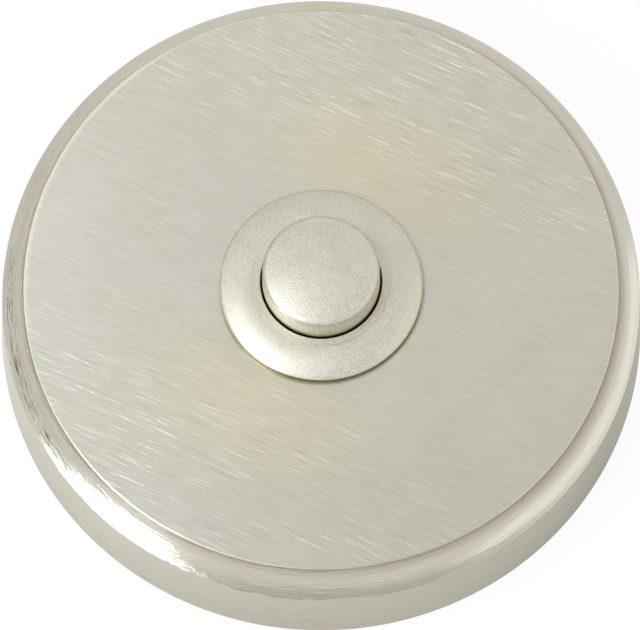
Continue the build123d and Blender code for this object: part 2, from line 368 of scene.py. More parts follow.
def brushed_metal(
    name, grain_of, colours, line_depth, roughness,
    anisotropy=0.0, stains_and_painted_light=(), stroke_places=None, furrow_places=None,
):
    """Brushed metal: low, high and stroke colours on a grain in millimetres, the stroke colour a painted
    glint, stains and painted light as (mask, colour), and masks of where the strokes show and where deeper
    furrows run."""
    material, tree, shader = new_material(name, 1.0, Anisotropic=anisotropy)
    grain = grain_of(tree)
    marks = brush_marks(tree, grain)
    drift = product(tree, marks["Tone"], TONE_SHARE)
    share = smooth_step(tree, math_node(tree, "ADD", drift, marks["Lines"]), SHADE_SPAN)
    low, high, bright = colours
    plain = mixed(tree, share, low, high)
    for mask_of, colour in stains_and_painted_light:
        dark, pale = (
            [2 * part * end / (first + last) for part, end, first, last in zip(colour, ends, low, high)]
            for ends in (low, high)
        )
        plain = mixed(tree, mask_of(tree), plain, mixed(tree, share, dark, pale))
    strokes = marks["Strokes"]
    if stroke_places:
        places = stroke_places(tree)
        streaks = product(tree, marks["Streaks"], STREAK_STRENGTH)
        strokes = product(tree, math_node(tree, "MAXIMUM", strokes, streaks), places)
        gouges = product(tree, marks["Gouges"], places)
        plain = mixed(tree, gouges, plain, [GOUGE_SHADE * part for part in low])
    # The strokes and streaks take the bright colour: a painted glint.
    tree.links.new(mixed(tree, strokes, plain, bright), shader.inputs["Base Color"])
    rough = smooth_step(
        tree, marks["Lines"], LINE_SPAN, (roughness - LINE_ROUGHNESS, roughness + LINE_ROUGHNESS)
    )
    tree.links.new(rough, shader.inputs["Roughness"])
    relief = marks["Lines"]
    if furrow_places:
        furrows = noise_at(tree, grain, along=0.30, across=1.6, detail=3.0, seed=36.4)
        relief = math_node(
            tree, "ADD",
            product(tree, relief, LINES_IN_FURROWS), product(tree, furrows, furrow_places(tree)),
        )
    raised(tree, shader, relief, line_depth)
    if anisotropy:
        across = add_node(tree, "ShaderNodeTangent", {"direction_type": "UV_MAP", "uv_map": "grain"})
        tree.links.new(across.outputs[0], shader.inputs["Tangent"])
    return material


def place_in_mm(tree):
    """The place on the piece, in millimetres."""
    place = add_node(tree, "ShaderNodeTexCoord").outputs["Object"]
    return vector_node(tree, "MULTIPLY", place, (1 / MM, 1 / MM, 1 / MM))


def flat_place(tree):
    """The place on the piece, in millimetres, without its height."""
    return vector_node(tree, "MULTIPLY", place_in_mm(tree), (1, 1, 0))


def across_turning(tree):
    """The place across the turned brushing, in millimetres from the axis, less the height."""
    map_place = add_node(tree, "ShaderNodeUVMap", {"uv_map": "grain"}).outputs[0]
    return product(tree, parts_of(tree, map_place)[0], 1 / MM)


def turned_grain(tree):
    """Grain round the axis."""
    place = parts_of(tree, place_in_mm(tree))
    return joined(tree, place[0], across_turning(tree), place[1])


def on_side(tree, direction, spread):
    """Full on the side that the direction points to, and none beyond that spread in degrees."""
    facing = dot_product(tree, vector_node(tree, "NORMALIZE", flat_place(tree)), direction)
    return smooth_step(tree, facing, (math.cos(math.radians(spread)), math.cos(math.radians(spread / 2))))


def beside(tree, across, reach):
    """Full near a place across the turned brushing, fading over a span of distances from it."""
    apart = math_node(tree, "ABSOLUTE", math_node(tree, "SUBTRACT", across_turning(tree), across))
    return smooth_step(tree, apart, reach, (1.0, 0.0))


# Wear, stains and painted light and shade on the cover, each as a mask. Their sides point away from the axis,
# their spreads are in degrees and their other sizes in millimetres.
EDGE_HIGHLIGHT_SIDE, EDGE_HIGHLIGHT_SPREAD = (-0.86, -0.51, 0), 105
EDGE_HIGHLIGHT_START = cove_start_r - COVER_HEIGHT + 0.04
EDGE_HIGHLIGHT_END = cove_start_r - COVER_HEIGHT + 0.16
SCUFF_SIDE, SCUFF_SPREAD = (0.32, -0.95, 0), 40
SCUFF_REACH = (0.05, 0.2)
SCUFF_SPAN = (0.42, 0.56)
SCUFF_STRENGTH = 0.8
DARK_STREAK_SIDE, DARK_STREAK_SPREAD = (-0.66, -0.75, 0), 38
DARK_STREAK_ANGLE = math.radians(60)
DARK_STREAK_REACH = (0.25, 0.75)
DARK_STREAK_SPAN = (0.50, 0.58)
DARK_STREAK_STRENGTH = 0.85
FURROW_SIDE, FURROW_SPREAD = (-0.72, -0.69, 0), 110
SHALLOWEST_FURROW = 0.12
BELT_EDGE = (11.0, 20.0)
BELT_MIDDLE_STRENGTH = 0.28
GLINT_FADE_RUN = (-6.0, 24.0)
GLINT_FADE_STRENGTH = 0.7
WARM_LIGHT_SIDE_RUN = (-4.0, 28.0)
WARM_LIGHT_SIDE_STRENGTH = 0.7
HALO_START = (7.0, 12.0)
HALO_END = (16.0, 28.0)
HALO_ALONG = (3.0, 20.0)
HALO_STRENGTH = 0.6
RIM_HIGHLIGHT_SIDE, RIM_HIGHLIGHT_SPREAD = (-1, 0, 0), 40
RIM_HIGHLIGHT_SPAN = (cove_start_r - 0.6, cove_start_r - 0.1)
BEZEL_SHADE_SIDE, BEZEL_SHADE_SPREAD = (0.65, -0.76, 0), 110
BEZEL_SHADE_R = 10.46
BEZEL_SHADE_WIDTH = 0.45
BEZEL_SHADE_STRENGTH = 0.85


def painted_edge_highlight(tree):
    """Painted highlight: a bright line along the face's edge, on the left."""
    near = smooth_step(tree, across_turning(tree), (EDGE_HIGHLIGHT_START, EDGE_HIGHLIGHT_END), (1.0, 0.0))
    return product(tree, near, on_side(tree, EDGE_HIGHLIGHT_SIDE, EDGE_HIGHLIGHT_SPREAD))


def scuffed_lip(tree):
    """Dark scuffs along the front of the cove's lip."""
    near = beside(tree, COVER_LIP_R - lip_centre[1], SCUFF_REACH)
    scuffs = noise_at(tree, place_in_mm(tree), along=0.25, across=0.25, detail=3.0, seed=17.1)
    places = smooth_step(tree, scuffs, SCUFF_SPAN, (0.0, SCUFF_STRENGTH))
    return product(tree, near, places, on_side(tree, SCUFF_SIDE, SCUFF_SPREAD))


def scratches_and_dark_reflection(tree):
    """Dark streaks along the middle of the cove on the left: scratches in the brushing, and a painted dark
    reflection.
    """
    cove_middle = cove_centre[0] - cove_centre[1] + COVE_R * (math.sin(DARK_STREAK_ANGLE) - math.cos(DARK_STREAK_ANGLE))
    near = beside(tree, cove_middle, DARK_STREAK_REACH)
    scratches = noise_at(tree, turned_grain(tree), along=0.65, across=7.0, detail=4.0, seed=52.6)
    dark_streaks = smooth_step(tree, scratches, DARK_STREAK_SPAN, (0.0, DARK_STREAK_STRENGTH))
    return product(tree, near, dark_streaks, on_side(tree, DARK_STREAK_SIDE, DARK_STREAK_SPREAD))


def brush_side(tree):
    """Deep where the brush starts on the cove, and shallow on the far side."""
    side = on_side(tree, FURROW_SIDE, FURROW_SPREAD)
    depth = add_node(
        tree, "ShaderNodeMapRange", None, {"Value": side, "To Min": SHALLOWEST_FURROW, "To Max": 1.0}
    )
    return depth.outputs[0]


def along_belt(tree):
    """How far a place is past the middle, in millimetres, along the belt's run."""
    return parts_of(tree, place_in_mm(tree))[0]


def belt_edges_and_glint_side(tree):
    """Strong near the edges of the belt's run and weak along its middle; fading towards +X, away from the
    lamp on the left, as a painted glint.
    """
    place_across = math_node(tree, "ABSOLUTE", parts_of(tree, place_in_mm(tree))[1])
    edges = smooth_step(tree, place_across, BELT_EDGE, (BELT_MIDDLE_STRENGTH, 1.0))
    return product(tree, edges, smooth_step(tree, along_belt(tree), GLINT_FADE_RUN, (1.0, GLINT_FADE_STRENGTH)))


def painted_warm_light_side(tree):
    """Painted light: the plate warmer and a little lighter towards +X, on the right as the camera sees it."""
    return smooth_step(tree, along_belt(tree), WARM_LIGHT_SIDE_RUN, (0.0, WARM_LIGHT_SIDE_STRENGTH))


def painted_warm_reflection(tree):
    """Painted reflection: a warm tint on the plate beside the bezel, drawn out across the grain."""
    place = parts_of(tree, place_in_mm(tree))
    along = math_node(tree, "ABSOLUTE", place[0])
    across = math_node(tree, "ABSOLUTE", place[1])
    return product(
        tree, smooth_step(tree, across, HALO_START), smooth_step(tree, across, HALO_END, (1.0, 0.0)),
        smooth_step(tree, along, HALO_ALONG, (HALO_STRENGTH, 0.0)),
    )


def painted_rim_highlight(tree):
    """Painted highlight: a lighter band on the face just inside its edge, on the left."""
    near = smooth_step(tree, length_of(tree, flat_place(tree)), RIM_HIGHLIGHT_SPAN)
    return product(tree, near, on_side(tree, RIM_HIGHLIGHT_SIDE, RIM_HIGHLIGHT_SPREAD))


def painted_bezel_shade(tree):
    """Painted shade and reflection: a dark olive band on the plate at the bezel's foot, mostly in front of
    it.
    """
    span = (BEZEL_SHADE_R, BEZEL_SHADE_R + BEZEL_SHADE_WIDTH)
    near = smooth_step(tree, length_of(tree, flat_place(tree)), span, (BEZEL_SHADE_STRENGTH, 0.0))
    return product(tree, near, on_side(tree, BEZEL_SHADE_SIDE, BEZEL_SHADE_SPREAD))


# The shot-blasted finish of the small turned pieces and of the cover's inside: fine pits and bright facets.
blasting, blast_in, blast_out = new_group(
    "bead_blasting",
    [("Place", "NodeSocketVector"), ("Pits per mm", "NodeSocketFloat")], ("Pits", "Facets", "Tone"),
)
blast_place = blast_in.outputs["Place"]
blast_scale = blast_in.outputs["Pits per mm"]
pits = add_node(
    blasting, "ShaderNodeTexNoise", None, {"Vector": blast_place, "Scale": blast_scale, "Detail": 2.0}
)
facets = add_node(
    blasting, "ShaderNodeTexVoronoi", {"feature": "F1"}, {"Vector": blast_place, "Scale": blast_scale}
)
facet_shade = add_node(blasting, "ShaderNodeSeparateColor", None, {0: facets.outputs["Color"]})
mottling = noise_at(blasting, blast_place, along=0.3, across=0.3, detail=2.0, seed=7.7)
for label, mark in (
    ("Pits", pits.outputs["Fac"]), ("Facets", facet_shade.outputs[0]), ("Tone", mottling)
):
    blasting.links.new(mark, blast_out.inputs[label])


def blast_marks(tree, pits_per_mm):
    """The marks of blasting or moulding in a material."""
    return add_node(
        tree, "ShaderNodeGroup", {"node_tree": blasting},
        {"Place": place_in_mm(tree), "Pits per mm": pits_per_mm},
    ).outputs


LACQUER_ROUGHNESS = 0.32
FACET_SHADE_SPAN = (0.2, 1.8)
FACET_ROUGHNESS = 0.06


def blasted_metal(name, low, high, pits_per_mm, pit_depth, roughness, lacquer=0.0):
    """Blasted metal: pits in relief, facets that vary its tone, and a clear lacquer over it if asked."""
    material, tree, shader = new_material(
        name, 1.0, Coat_Weight=lacquer, Coat_Roughness=LACQUER_ROUGHNESS
    )
    marks = blast_marks(tree, pits_per_mm)
    shade = smooth_step(tree, math_node(tree, "ADD", marks["Facets"], marks["Tone"]), FACET_SHADE_SPAN)
    tree.links.new(mixed(tree, shade, low, high), shader.inputs["Base Color"])
    rough = smooth_step(
        tree, marks["Facets"], (0.0, 1.0), (roughness - FACET_ROUGHNESS, roughness + FACET_ROUGHNESS)
    )
    tree.links.new(rough, shader.inputs["Roughness"])
    raised(tree, shader, marks["Pits"], pit_depth)
    return material


# The third colour of each brushed metal is a painted glint on its strokes.
FACE_COLOURS = ((0.450, 0.433, 0.365), (0.532, 0.515, 0.450), (0.93, 0.92, 0.85))
# Painted light and shade on the face: a warm reflection, a warm side, shade at the bezel's foot and a rim
# highlight.
FACE_PAINTED_LIGHT = (
    (painted_warm_reflection, (0.534, 0.498, 0.350)),
    (painted_warm_light_side, (0.528, 0.502, 0.404)),
    (painted_bezel_shade, (0.285, 0.245, 0.115)),
    (painted_rim_highlight, (0.59, 0.578, 0.515)),
)
EDGE_COLOURS = ((0.512, 0.485, 0.409), (0.593, 0.569, 0.494), (0.82, 0.80, 0.72))
# On the cove: a painted highlight at the face's edge, scuffs at the lip, and scratches with a painted dark
# reflection.
EDGE_STAINS_AND_PAINTED_LIGHT = (
    (painted_edge_highlight, (0.90, 0.87, 0.77)),
    (scuffed_lip, (0.26, 0.235, 0.18)),
    (scratches_and_dark_reflection, (0.125, 0.105, 0.065)),
)
face_nickel = brushed_metal(
    "straight_brushed_nickel", place_in_mm, FACE_COLOURS, line_depth=0.004, roughness=0.32,
    anisotropy=0.7, stains_and_painted_light=FACE_PAINTED_LIGHT, stroke_places=belt_edges_and_glint_side,
)
edge_nickel = brushed_metal(
    "turned_brushed_nickel", turned_grain, EDGE_COLOURS, line_depth=0.100, roughness=0.22,
    anisotropy=0.80, stains_and_painted_light=EDGE_STAINS_AND_PAINTED_LIGHT, furrow_places=brush_side,
)
raw_forging = blasted_metal(
    "plated_forging", low=(0.40, 0.385, 0.33), high=(0.55, 0.53, 0.46),
    pits_per_mm=3.0, pit_depth=0.03, roughness=0.5,
)
for finish in (face_nickel, edge_nickel, raw_forging):
    cover.data.materials.append(finish)
FACE_FINISH, EDGE_FINISH, FORGED_FINISH = range(3)
LEVEL = 0.99
UNDERSIDE_Z = RIM_EDGE_ROUND / 10
grain_map = cover.data.uv_layers.new(name="grain")
for polygon in cover.data.polygons:
    centre = polygon.center / MM
    if polygon.normal.z > LEVEL and centre.z > COVER_HEIGHT - LIP_EDGE_ROUND:
        polygon.material_index = FACE_FINISH
    elif math.hypot(centre.x, centre.y) < CAVITY_R or centre.z < UNDERSIDE_Z:
        polygon.material_index = FORGED_FINISH
    else:
        polygon.material_index = EDGE_FINISH
    middle_angle = math.atan2(centre.y, centre.x)
    for loop in polygon.loop_indices:
        x, y, z = cover.data.vertices[cover.data.loops[loop].vertex_index].co
        radius = math.hypot(x, y)
        angle = middle_angle + math.remainder(math.atan2(y, x) - middle_angle, FULL_TURN)
        around = angle * COVER_LIP_R * MM
        straight = polygon.material_index == FACE_FINISH
        grain_map.data[loop].uv = (y, x) if straight else (radius - z, around)
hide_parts("cover")
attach(cover, "housing")

# BEZEL
# The domed flange and its barrel are turned in brass in one piece, blasted and plated. The barrel goes
# through the cover, is threaded for the lock nut, and its rear edge is crimped in over the terminal base.
BEZEL_R = 10.46
BEZEL_EDGE_Z = COVER_HEIGHT + 0.7
BORE_R = 6.29
LAND_R = BORE_R + 0.8
LAND_STEP = 0.1
LAND_EDGE_BREAK = 0.06
DOME_RISE = 0.84
DOME_STEPS = 24
STOP_Z = 11.6
CHAMBER_R = 6.75
SEAT_R = 7.05
BASE_FRONT_Z = 5.0
BASE_REAR_Z = 2.8
CRIMP_R = 6.5
BARREL_R = 7.95
BARREL_REAR_Z = 2.4
SEAL_GROOVE_INNER_R = 8.55
SEAL_GROOVE_OUTER_R = 9.86
SEAL_GROOVE_Z = COVER_HEIGHT + 0.5
BEZEL_STEPS = 192
THREAD_PITCH = 1.06
THREAD_DEPTH = 0.5
THREAD_RINGS = 10
THREAD_START = 0.5
EDGE_BREAK = 0.08
FLANGE_UNDERCUT = 0.15
dome_top_z = BEZEL_EDGE_Z + DOME_RISE
land_z = dome_top_z + LAND_STEP
dome_width = BEZEL_R - LAND_R
dome_r = (dome_width**2 + DOME_RISE**2) / (2 * DOME_RISE)
dome_centre = (LAND_R, dome_top_z - dome_r)
dome_foot = math.atan2(dome_r - DOME_RISE, dome_width)
thread_count = round((COVER_HEIGHT - BARREL_REAR_Z) / THREAD_PITCH * THREAD_RINGS)
thread_step = (COVER_HEIGHT - BARREL_REAR_Z) / thread_count
bezel_outline = [
    (BEZEL_R, BEZEL_EDGE_Z - EDGE_BREAK),
    *arc_points(dome_centre, dome_r, dome_foot, QUARTER_TURN, DOME_STEPS)[1:],
    (LAND_R, land_z),
    (BORE_R + LAND_EDGE_BREAK, land_z),
    (BORE_R, land_z - LAND_EDGE_BREAK),
    (BORE_R, STOP_Z),
    (CHAMBER_R, STOP_Z),
    (CHAMBER_R, BASE_FRONT_Z),
    (SEAT_R, BASE_FRONT_Z),
    (SEAT_R, BASE_REAR_Z),
    (CRIMP_R, BASE_REAR_Z),
    (CRIMP_R, BARREL_REAR_Z),
    *[(BARREL_R, BARREL_REAR_Z + thread_step * ring) for ring in range(thread_count + 1)],
    (SEAL_GROOVE_INNER_R, COVER_HEIGHT),
    (SEAL_GROOVE_INNER_R, SEAL_GROOVE_Z),
    (SEAL_GROOVE_OUTER_R, SEAL_GROOVE_Z),
    (SEAL_GROOVE_OUTER_R, COVER_HEIGHT),
    (BEZEL_R - FLANGE_UNDERCUT, COVER_HEIGHT),
    (BEZEL_R, COVER_HEIGHT + FLANGE_UNDERCUT),
]
bezel = placed("bezel_and_barrel", turned_mesh("bezel_and_barrel", bezel_outline, BEZEL_STEPS))
for vertex in bezel.data.vertices:
    x, y, z = vertex.co / MM
    if abs(math.hypot(x, y) - BARREL_R) < EDGE_BREAK and z < COVER_HEIGHT - EDGE_BREAK:
        turn = (z / THREAD_PITCH - math.atan2(y, x) / FULL_TURN) % 1
        fade = min(1, (z - BARREL_REAR_Z) / THREAD_PITCH + THREAD_START, (COVER_HEIGHT - z) / THREAD_PITCH)
        groove = THREAD_DEPTH * (1 - abs(2 * turn - 1)) * fade
        vertex.co.xy *= (BARREL_R - groove) / BARREL_R


def lathe_grain(tree, axis_x=0.0):
    """Grain round an axis along Z, or round two that stand at the same distance either side of the middle."""
    place = parts_of(tree, place_in_mm(tree))
    from_axis = math_node(tree, "SUBTRACT", math_node(tree, "ABSOLUTE", place[0]), axis_x)
    radius = length_of(tree, joined(tree, from_axis, place[1]))
    return joined(tree, from_axis, math_node(tree, "SUBTRACT", radius, place[2]), place[1])


# The bezel's upright side is coloured darker and olive: painted shade, and a painted reflection of the face.
FLANGE_SHADE_COLOURS = ((0.47, 0.435, 0.315), (0.53, 0.490, 0.360), (0.66, 0.63, 0.50))
blasted_nickel = blasted_metal(
    "blasted_nickel", low=(0.480, 0.456, 0.371), high=(0.585, 0.565, 0.477),
    pits_per_mm=6.5, pit_depth=0.030, roughness=0.50, lacquer=1.0,
)
flange_side = brushed_metal(
    "turned_flange_side_painted_shade", lathe_grain, FLANGE_SHADE_COLOURS, line_depth=0.010, roughness=0.16
)
# Dark brown in the bezel's bore and on the button below the land: painted shade in the gap between them.
painted_gap_shade = blasted_metal(
    "painted_gap_shade", low=(0.10, 0.062, 0.024), high=(0.19, 0.120, 0.050),
    pits_per_mm=4.0, pit_depth=0.01, roughness=0.45,
)
for finish in (blasted_nickel, flange_side, painted_gap_shade):
    bezel.data.materials.append(finish)
SIDE_FINISH, SHADED_BORE = 1, 2
UPRIGHT = 0.1
for polygon in bezel.data.polygons:
    centre = polygon.center / MM
    centre_r = math.hypot(centre.x, centre.y)
    if centre_r > BEZEL_R - EDGE_BREAK and abs(polygon.normal.z) < UPRIGHT:
        polygon.material_index = SIDE_FINISH
    elif centre_r < CHAMBER_R and centre.z < land_z - LAND_EDGE_BREAK:
        polygon.material_index = SHADED_BORE
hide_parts("bezel")
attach(bezel, "housing")

# BEZEL SEAL
# A flat ring punched from black rubber sheet. It lies in a groove under the bezel's flange and keeps
# rain out of the cover.
RUBBER_COLOURS = ((0.010, 0.010, 0.011), (0.040, 0.039, 0.037))
RUBBER_PITS_PER_MM = 5.0
RUBBER_PIT_SPAN = (0.3, 0.7)
RUBBER_ROUGHNESS = (0.62, 0.82)
RUBBER_PIT_DEPTH = 0.02
rubber, tree, shader = new_material("black_rubber", 0.0, Specular_IOR_Level=0.35)
marks = blast_marks(tree, RUBBER_PITS_PER_MM)
rough = smooth_step(tree, marks["Pits"], RUBBER_PIT_SPAN, RUBBER_ROUGHNESS)
tree.links.new(mixed(tree, marks["Tone"], *RUBBER_COLOURS), shader.inputs["Base Color"])
tree.links.new(rough, shader.inputs["Roughness"])
raised(tree, shader, marks["Pits"], RUBBER_PIT_DEPTH)


def finish_nodes(material, *names):
    """Gives CAD nodes their material."""
    for name in names:
        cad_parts[name].material_slots[0].material = material


finish_nodes(rubber, "bezel_seal")

# LOCK WASHER, LOCK NUT AND MOUNTING PLATE
# Pressed and milled in mild steel and plated in bright zinc. The washer and nut clamp the bezel behind the
# face, and the dished plate is screwed to the wall for the cover to slide over.
zinc_plate = blasted_metal(
    "zinc_plate", low=(0.49, 0.51, 0.53), high=(0.66, 0.67, 0.68),
    pits_per_mm=0.9, pit_depth=0.008, roughness=0.36,
)
finish_nodes(zinc_plate, "lock_washer", "lock_nut", "mounting_plate")

# BUTTON
# The cap under the finger, turned in brass, blasted and plated like the bezel. Its top is crowned, its
# edge is well rounded, and a shoulder inside the bezel keeps it from coming out.
BUTTON_R = 6.05
BUTTON_CROWN_Z = COVER_HEIGHT + 4.9
BUTTON_CROWN_HEIGHT = 0.85
BUTTON_EDGE_ROUND = 0.7
SHOULDER_R = 6.6
SHOULDER_Z = 10.4
POCKET_R = 4.95
POCKET_Z = BUTTON_CROWN_Z - 2.0
BUTTON_STEPS = 192
CROWN_STEPS = 24
BUTTON_EDGE_STEPS = 14
crown_r = (BUTTON_R**2 + BUTTON_CROWN_HEIGHT**2) / (2 * BUTTON_CROWN_HEIGHT)
crown_top = BUTTON_CROWN_Z + BUTTON_CROWN_HEIGHT
crown_centre = (0, crown_top - crown_r)
edge_r = BUTTON_R - BUTTON_EDGE_ROUND
edge_rise = math.sqrt((crown_r - BUTTON_EDGE_ROUND) ** 2 - edge_r**2)
edge_centre = (edge_r, crown_centre[1] + edge_rise)
edge_angle = math.atan2(edge_rise, edge_r)
side_foot_z = land_z - LAND_STEP
button_outline = [
    (0, crown_top),
    *arc_points(crown_centre, crown_r, QUARTER_TURN, edge_angle, CROWN_STEPS)[1:],
    *arc_points(edge_centre, BUTTON_EDGE_ROUND, edge_angle, 0, BUTTON_EDGE_STEPS)[1:],
    (BUTTON_R, side_foot_z),
    (BUTTON_R, STOP_Z),
    (SHOULDER_R, STOP_Z),
    (SHOULDER_R, SHOULDER_Z),
    (POCKET_R, SHOULDER_Z),
    (POCKET_R, POCKET_Z),
    (0, POCKET_Z),
]
button = placed("button_cap", turned_mesh("button_cap", button_outline, BUTTON_STEPS, closed=False))
# The button's side gets a lighter, warmer copy of the blasted nickel: painted light.
button_side = blasted_metal(
    "button_side_painted_light", low=(0.660, 0.620, 0.492), high=(0.765, 0.729, 0.598),
    pits_per_mm=6.5, pit_depth=0.020, roughness=0.50,
)
for finish in (blasted_nickel, button_side, painted_gap_shade):
    button.data.materials.append(finish)
STEEP = 0.2
for polygon in button.data.polygons:
    # Below the land the button takes the painted gap shade.
    if polygon.center.z / MM < side_foot_z:
        polygon.material_index = SHADED_BORE
    elif polygon.normal.z < STEEP:
        polygon.material_index = SIDE_FINISH
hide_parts("button")
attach(button, "push_button")

# PLUNGER
# Turned in white nylon and pressed into the button. It insulates the button from the contacts, and its
# rear end is staked over the contact disc.
NYLON_COLOURS = ((0.70, 0.68, 0.62), (0.84, 0.83, 0.79))
NYLON_ROUGHNESS = (0.38, 0.52)
NYLON_LINE_DEPTH = 0.02
nylon, tree, shader = new_material("white_nylon", 0.0, Subsurface_Weight=0.15, Subsurface_Scale=0.4 * MM)
marks = brush_marks(tree, lathe_grain(tree))
rough = smooth_step(tree, marks["Lines"], LINE_SPAN, NYLON_ROUGHNESS)
tree.links.new(mixed(tree, marks["Tone"], *NYLON_COLOURS), shader.inputs["Base Color"])
tree.links.new(rough, shader.inputs["Roughness"])
raised(tree, shader, marks["Lines"], NYLON_LINE_DEPTH)
finish_nodes(nylon, "plunger")

# CONTACT DISC, CONTACTS AND TERMINAL SCREWS
# The disc and the two bent contacts are stamped from rolled brass, and the screws and washers are turned.
# Pressing the button brings the disc down on both contacts.
BRASS_COLOURS = ((0.46, 0.315, 0.115), (0.66, 0.48, 0.205), (0.86, 0.72, 0.42))
TERMINAL_OFFSET = 4.1
rolled_brass = brushed_metal(
    "rolled_brass", place_in_mm, BRASS_COLOURS, line_depth=0.012, roughness=0.30
)
turned_brass = brushed_metal(
    "turned_brass", lambda tree: lathe_grain(tree, TERMINAL_OFFSET), BRASS_COLOURS,
    line_depth=0.02, roughness=0.27,
)
finish_nodes(rolled_brass, "contact_disc", "right_contact", "left_contact")
finish_nodes(turned_brass, "terminal_screws", "terminal_washers")

# RETURN SPRING
# Wound from hard-drawn steel wire with one closed turn at each end. It stands on the terminal base and
# pushes the plunger out again.
SPRING_COIL_R = 1.95
SPRING_WIRE = 0.5
SPRING_TURNS = 7.0
SPRING_END_TURNS = 1.0
SPRING_LENGTH = 8.8
STEPS_PER_TURN = 28
WIRE_SIDES = 12
spring_wire_steel = blasted_metal(
    "spring_wire", low=(0.26, 0.26, 0.265), high=(0.47, 0.465, 0.455),
    pits_per_mm=12.0, pit_depth=0.006, roughness=0.33,
)
winding = bpy.data.node_groups.new("wound_spring", "GeometryNodeTree")
winding.interface.new_socket("Geometry", in_out="OUTPUT", socket_type="NodeSocketGeometry")
spring_sizes = {
    "Coil radius": SPRING_COIL_R * MM, "Wire": SPRING_WIRE * MM, "Turns": SPRING_TURNS,
    "Length": SPRING_LENGTH * MM, "Foot": BASE_FRONT_Z * MM,
}
for label in spring_sizes:
    winding.interface.new_socket(label, in_out="INPUT", socket_type="NodeSocketFloat")
size = winding.nodes.new("NodeGroupInput").outputs
point_index = add_node(winding, "GeometryNodeInputIndex").outputs[0]
turn_now = math_node(winding, "DIVIDE", point_index, STEPS_PER_TURN)


def turns_between(start, end):
    """How many turns are wound between two counts of turns."""
    past = math_node(winding, "SUBTRACT", turn_now, start)
    whole = math_node(winding, "SUBTRACT", end, start)
    return math_node(winding, "MAXIMUM", math_node(winding, "MINIMUM", past, whole))


last_turn = math_node(winding, "SUBTRACT", size["Turns"], SPRING_END_TURNS)
open_turns = math_node(winding, "SUBTRACT", size["Turns"], 2 * SPRING_END_TURNS)
closed_length = product(winding, size["Wire"], 2 * SPRING_END_TURNS + 1)
open_length = math_node(winding, "SUBTRACT", size["Length"], closed_length)
open_pitch = math_node(winding, "DIVIDE", open_length, open_turns)
closed_turns = math_node(
    winding, "ADD", turns_between(0.0, SPRING_END_TURNS), turns_between(last_turn, size["Turns"])
)
climb = math_node(
    winding, "ADD", product(winding, closed_turns, size["Wire"]),
    product(winding, turns_between(SPRING_END_TURNS, last_turn), open_pitch),
)
wire_radius = math_node(winding, "DIVIDE", size["Wire"], 2.0)
foot = math_node(winding, "ADD", size["Foot"], wire_radius)
turned_by = product(winding, turn_now, FULL_TURN)
wound = joined(
    winding,
    product(winding, math_node(winding, "COSINE", turned_by), size["Coil radius"]),
    product(winding, math_node(winding, "SINE", turned_by), size["Coil radius"]),
    math_node(winding, "ADD", climb, foot),
)
point_count = math_node(winding, "ADD", product(winding, size["Turns"], STEPS_PER_TURN), 1.0)
straight_wire = add_node(winding, "GeometryNodeMeshLine", None, {"Count": point_count})
path = add_node(winding, "GeometryNodeMeshToCurve", None, {"Mesh": straight_wire.outputs[0]})
coiled = add_node(
    winding, "GeometryNodeSetPosition", None, {"Geometry": path.outputs[0], "Position": wound}
)
section = add_node(
    winding, "GeometryNodeCurvePrimitiveCircle", None, {"Resolution": WIRE_SIDES, "Radius": wire_radius}
)
drawn_wire = add_node(
    winding, "GeometryNodeCurveToMesh", None,
    {"Curve": coiled.outputs[0], "Profile Curve": section.outputs[0], "Fill Caps": True},
)
real = add_node(winding, "GeometryNodeRealizeInstances", None, {0: drawn_wire.outputs[0]})
finished = add_node(
    winding, "GeometryNodeSetMaterial", None, {0: real.outputs[0], "Material": spring_wire_steel}
)
add_node(winding, "NodeGroupOutput", None, {0: finished.outputs[0]})
spring = placed("return_coil", bpy.data.meshes.new("return_coil"))
wind = spring.modifiers.new("wind", "NODES")
wind.node_group = winding
for item in winding.interface.items_tree:
    if item.in_out == "INPUT":
        wind[item.identifier] = spring_sizes[item.name]
plain_mesh(spring)
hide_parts("return_spring")
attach(spring, "housing")
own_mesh(spring)

# TERMINAL BASE
# Moulded in black phenolic and crimped into the rear of the barrel. It carries the contacts, locates the
# spring, and has a rib that keeps the two bell wires apart.
PHENOLIC_COLOURS = ((0.016, 0.011, 0.008), (0.042, 0.028, 0.019))
PHENOLIC_MOTTLE_SPAN = (0.3, 0.7)
PHENOLIC_PITS_PER_MM = 4.0
PHENOLIC_PIT_SPAN = (0.25, 0.75)
PHENOLIC_PIT_DEPTH = 0.012
PHENOLIC_ROUGHNESS = (0.26, 0.44)
WOOD_FLOUR_COLOUR = (0.11, 0.075, 0.045)
WOOD_FLOUR_SPAN = (0.90, 1.0)
WOOD_FLOUR_STRENGTH = 0.6
phenolic, tree, shader = new_material("black_phenolic", 0.0, Specular_IOR_Level=0.55)
marks = blast_marks(tree, PHENOLIC_PITS_PER_MM)
mottle = smooth_step(tree, marks["Tone"], PHENOLIC_MOTTLE_SPAN)
flour = smooth_step(tree, marks["Facets"], WOOD_FLOUR_SPAN, (0.0, WOOD_FLOUR_STRENGTH))
resin = mixed(tree, mottle, *PHENOLIC_COLOURS)
rough = smooth_step(tree, marks["Pits"], PHENOLIC_PIT_SPAN, PHENOLIC_ROUGHNESS)
tree.links.new(mixed(tree, flour, resin, WOOD_FLOUR_COLOUR), shader.inputs["Base Color"])
tree.links.new(rough, shader.inputs["Roughness"])
raised(tree, shader, marks["Pits"], PHENOLIC_PIT_DEPTH)
finish_nodes(phenolic, "terminal_base")

# SET SCREW
# A headless screw of blackened steel in the underside of the skirt, turned in with a hexagon key until it
# grips the rim of the plate.
black_steel = blasted_metal(
    "black_oxide", low=(0.035, 0.035, 0.038), high=(0.085, 0.083, 0.082),
    pits_per_mm=7.0, pit_depth=0.01, roughness=0.42,
)
finish_nodes(black_steel, "set_screw")

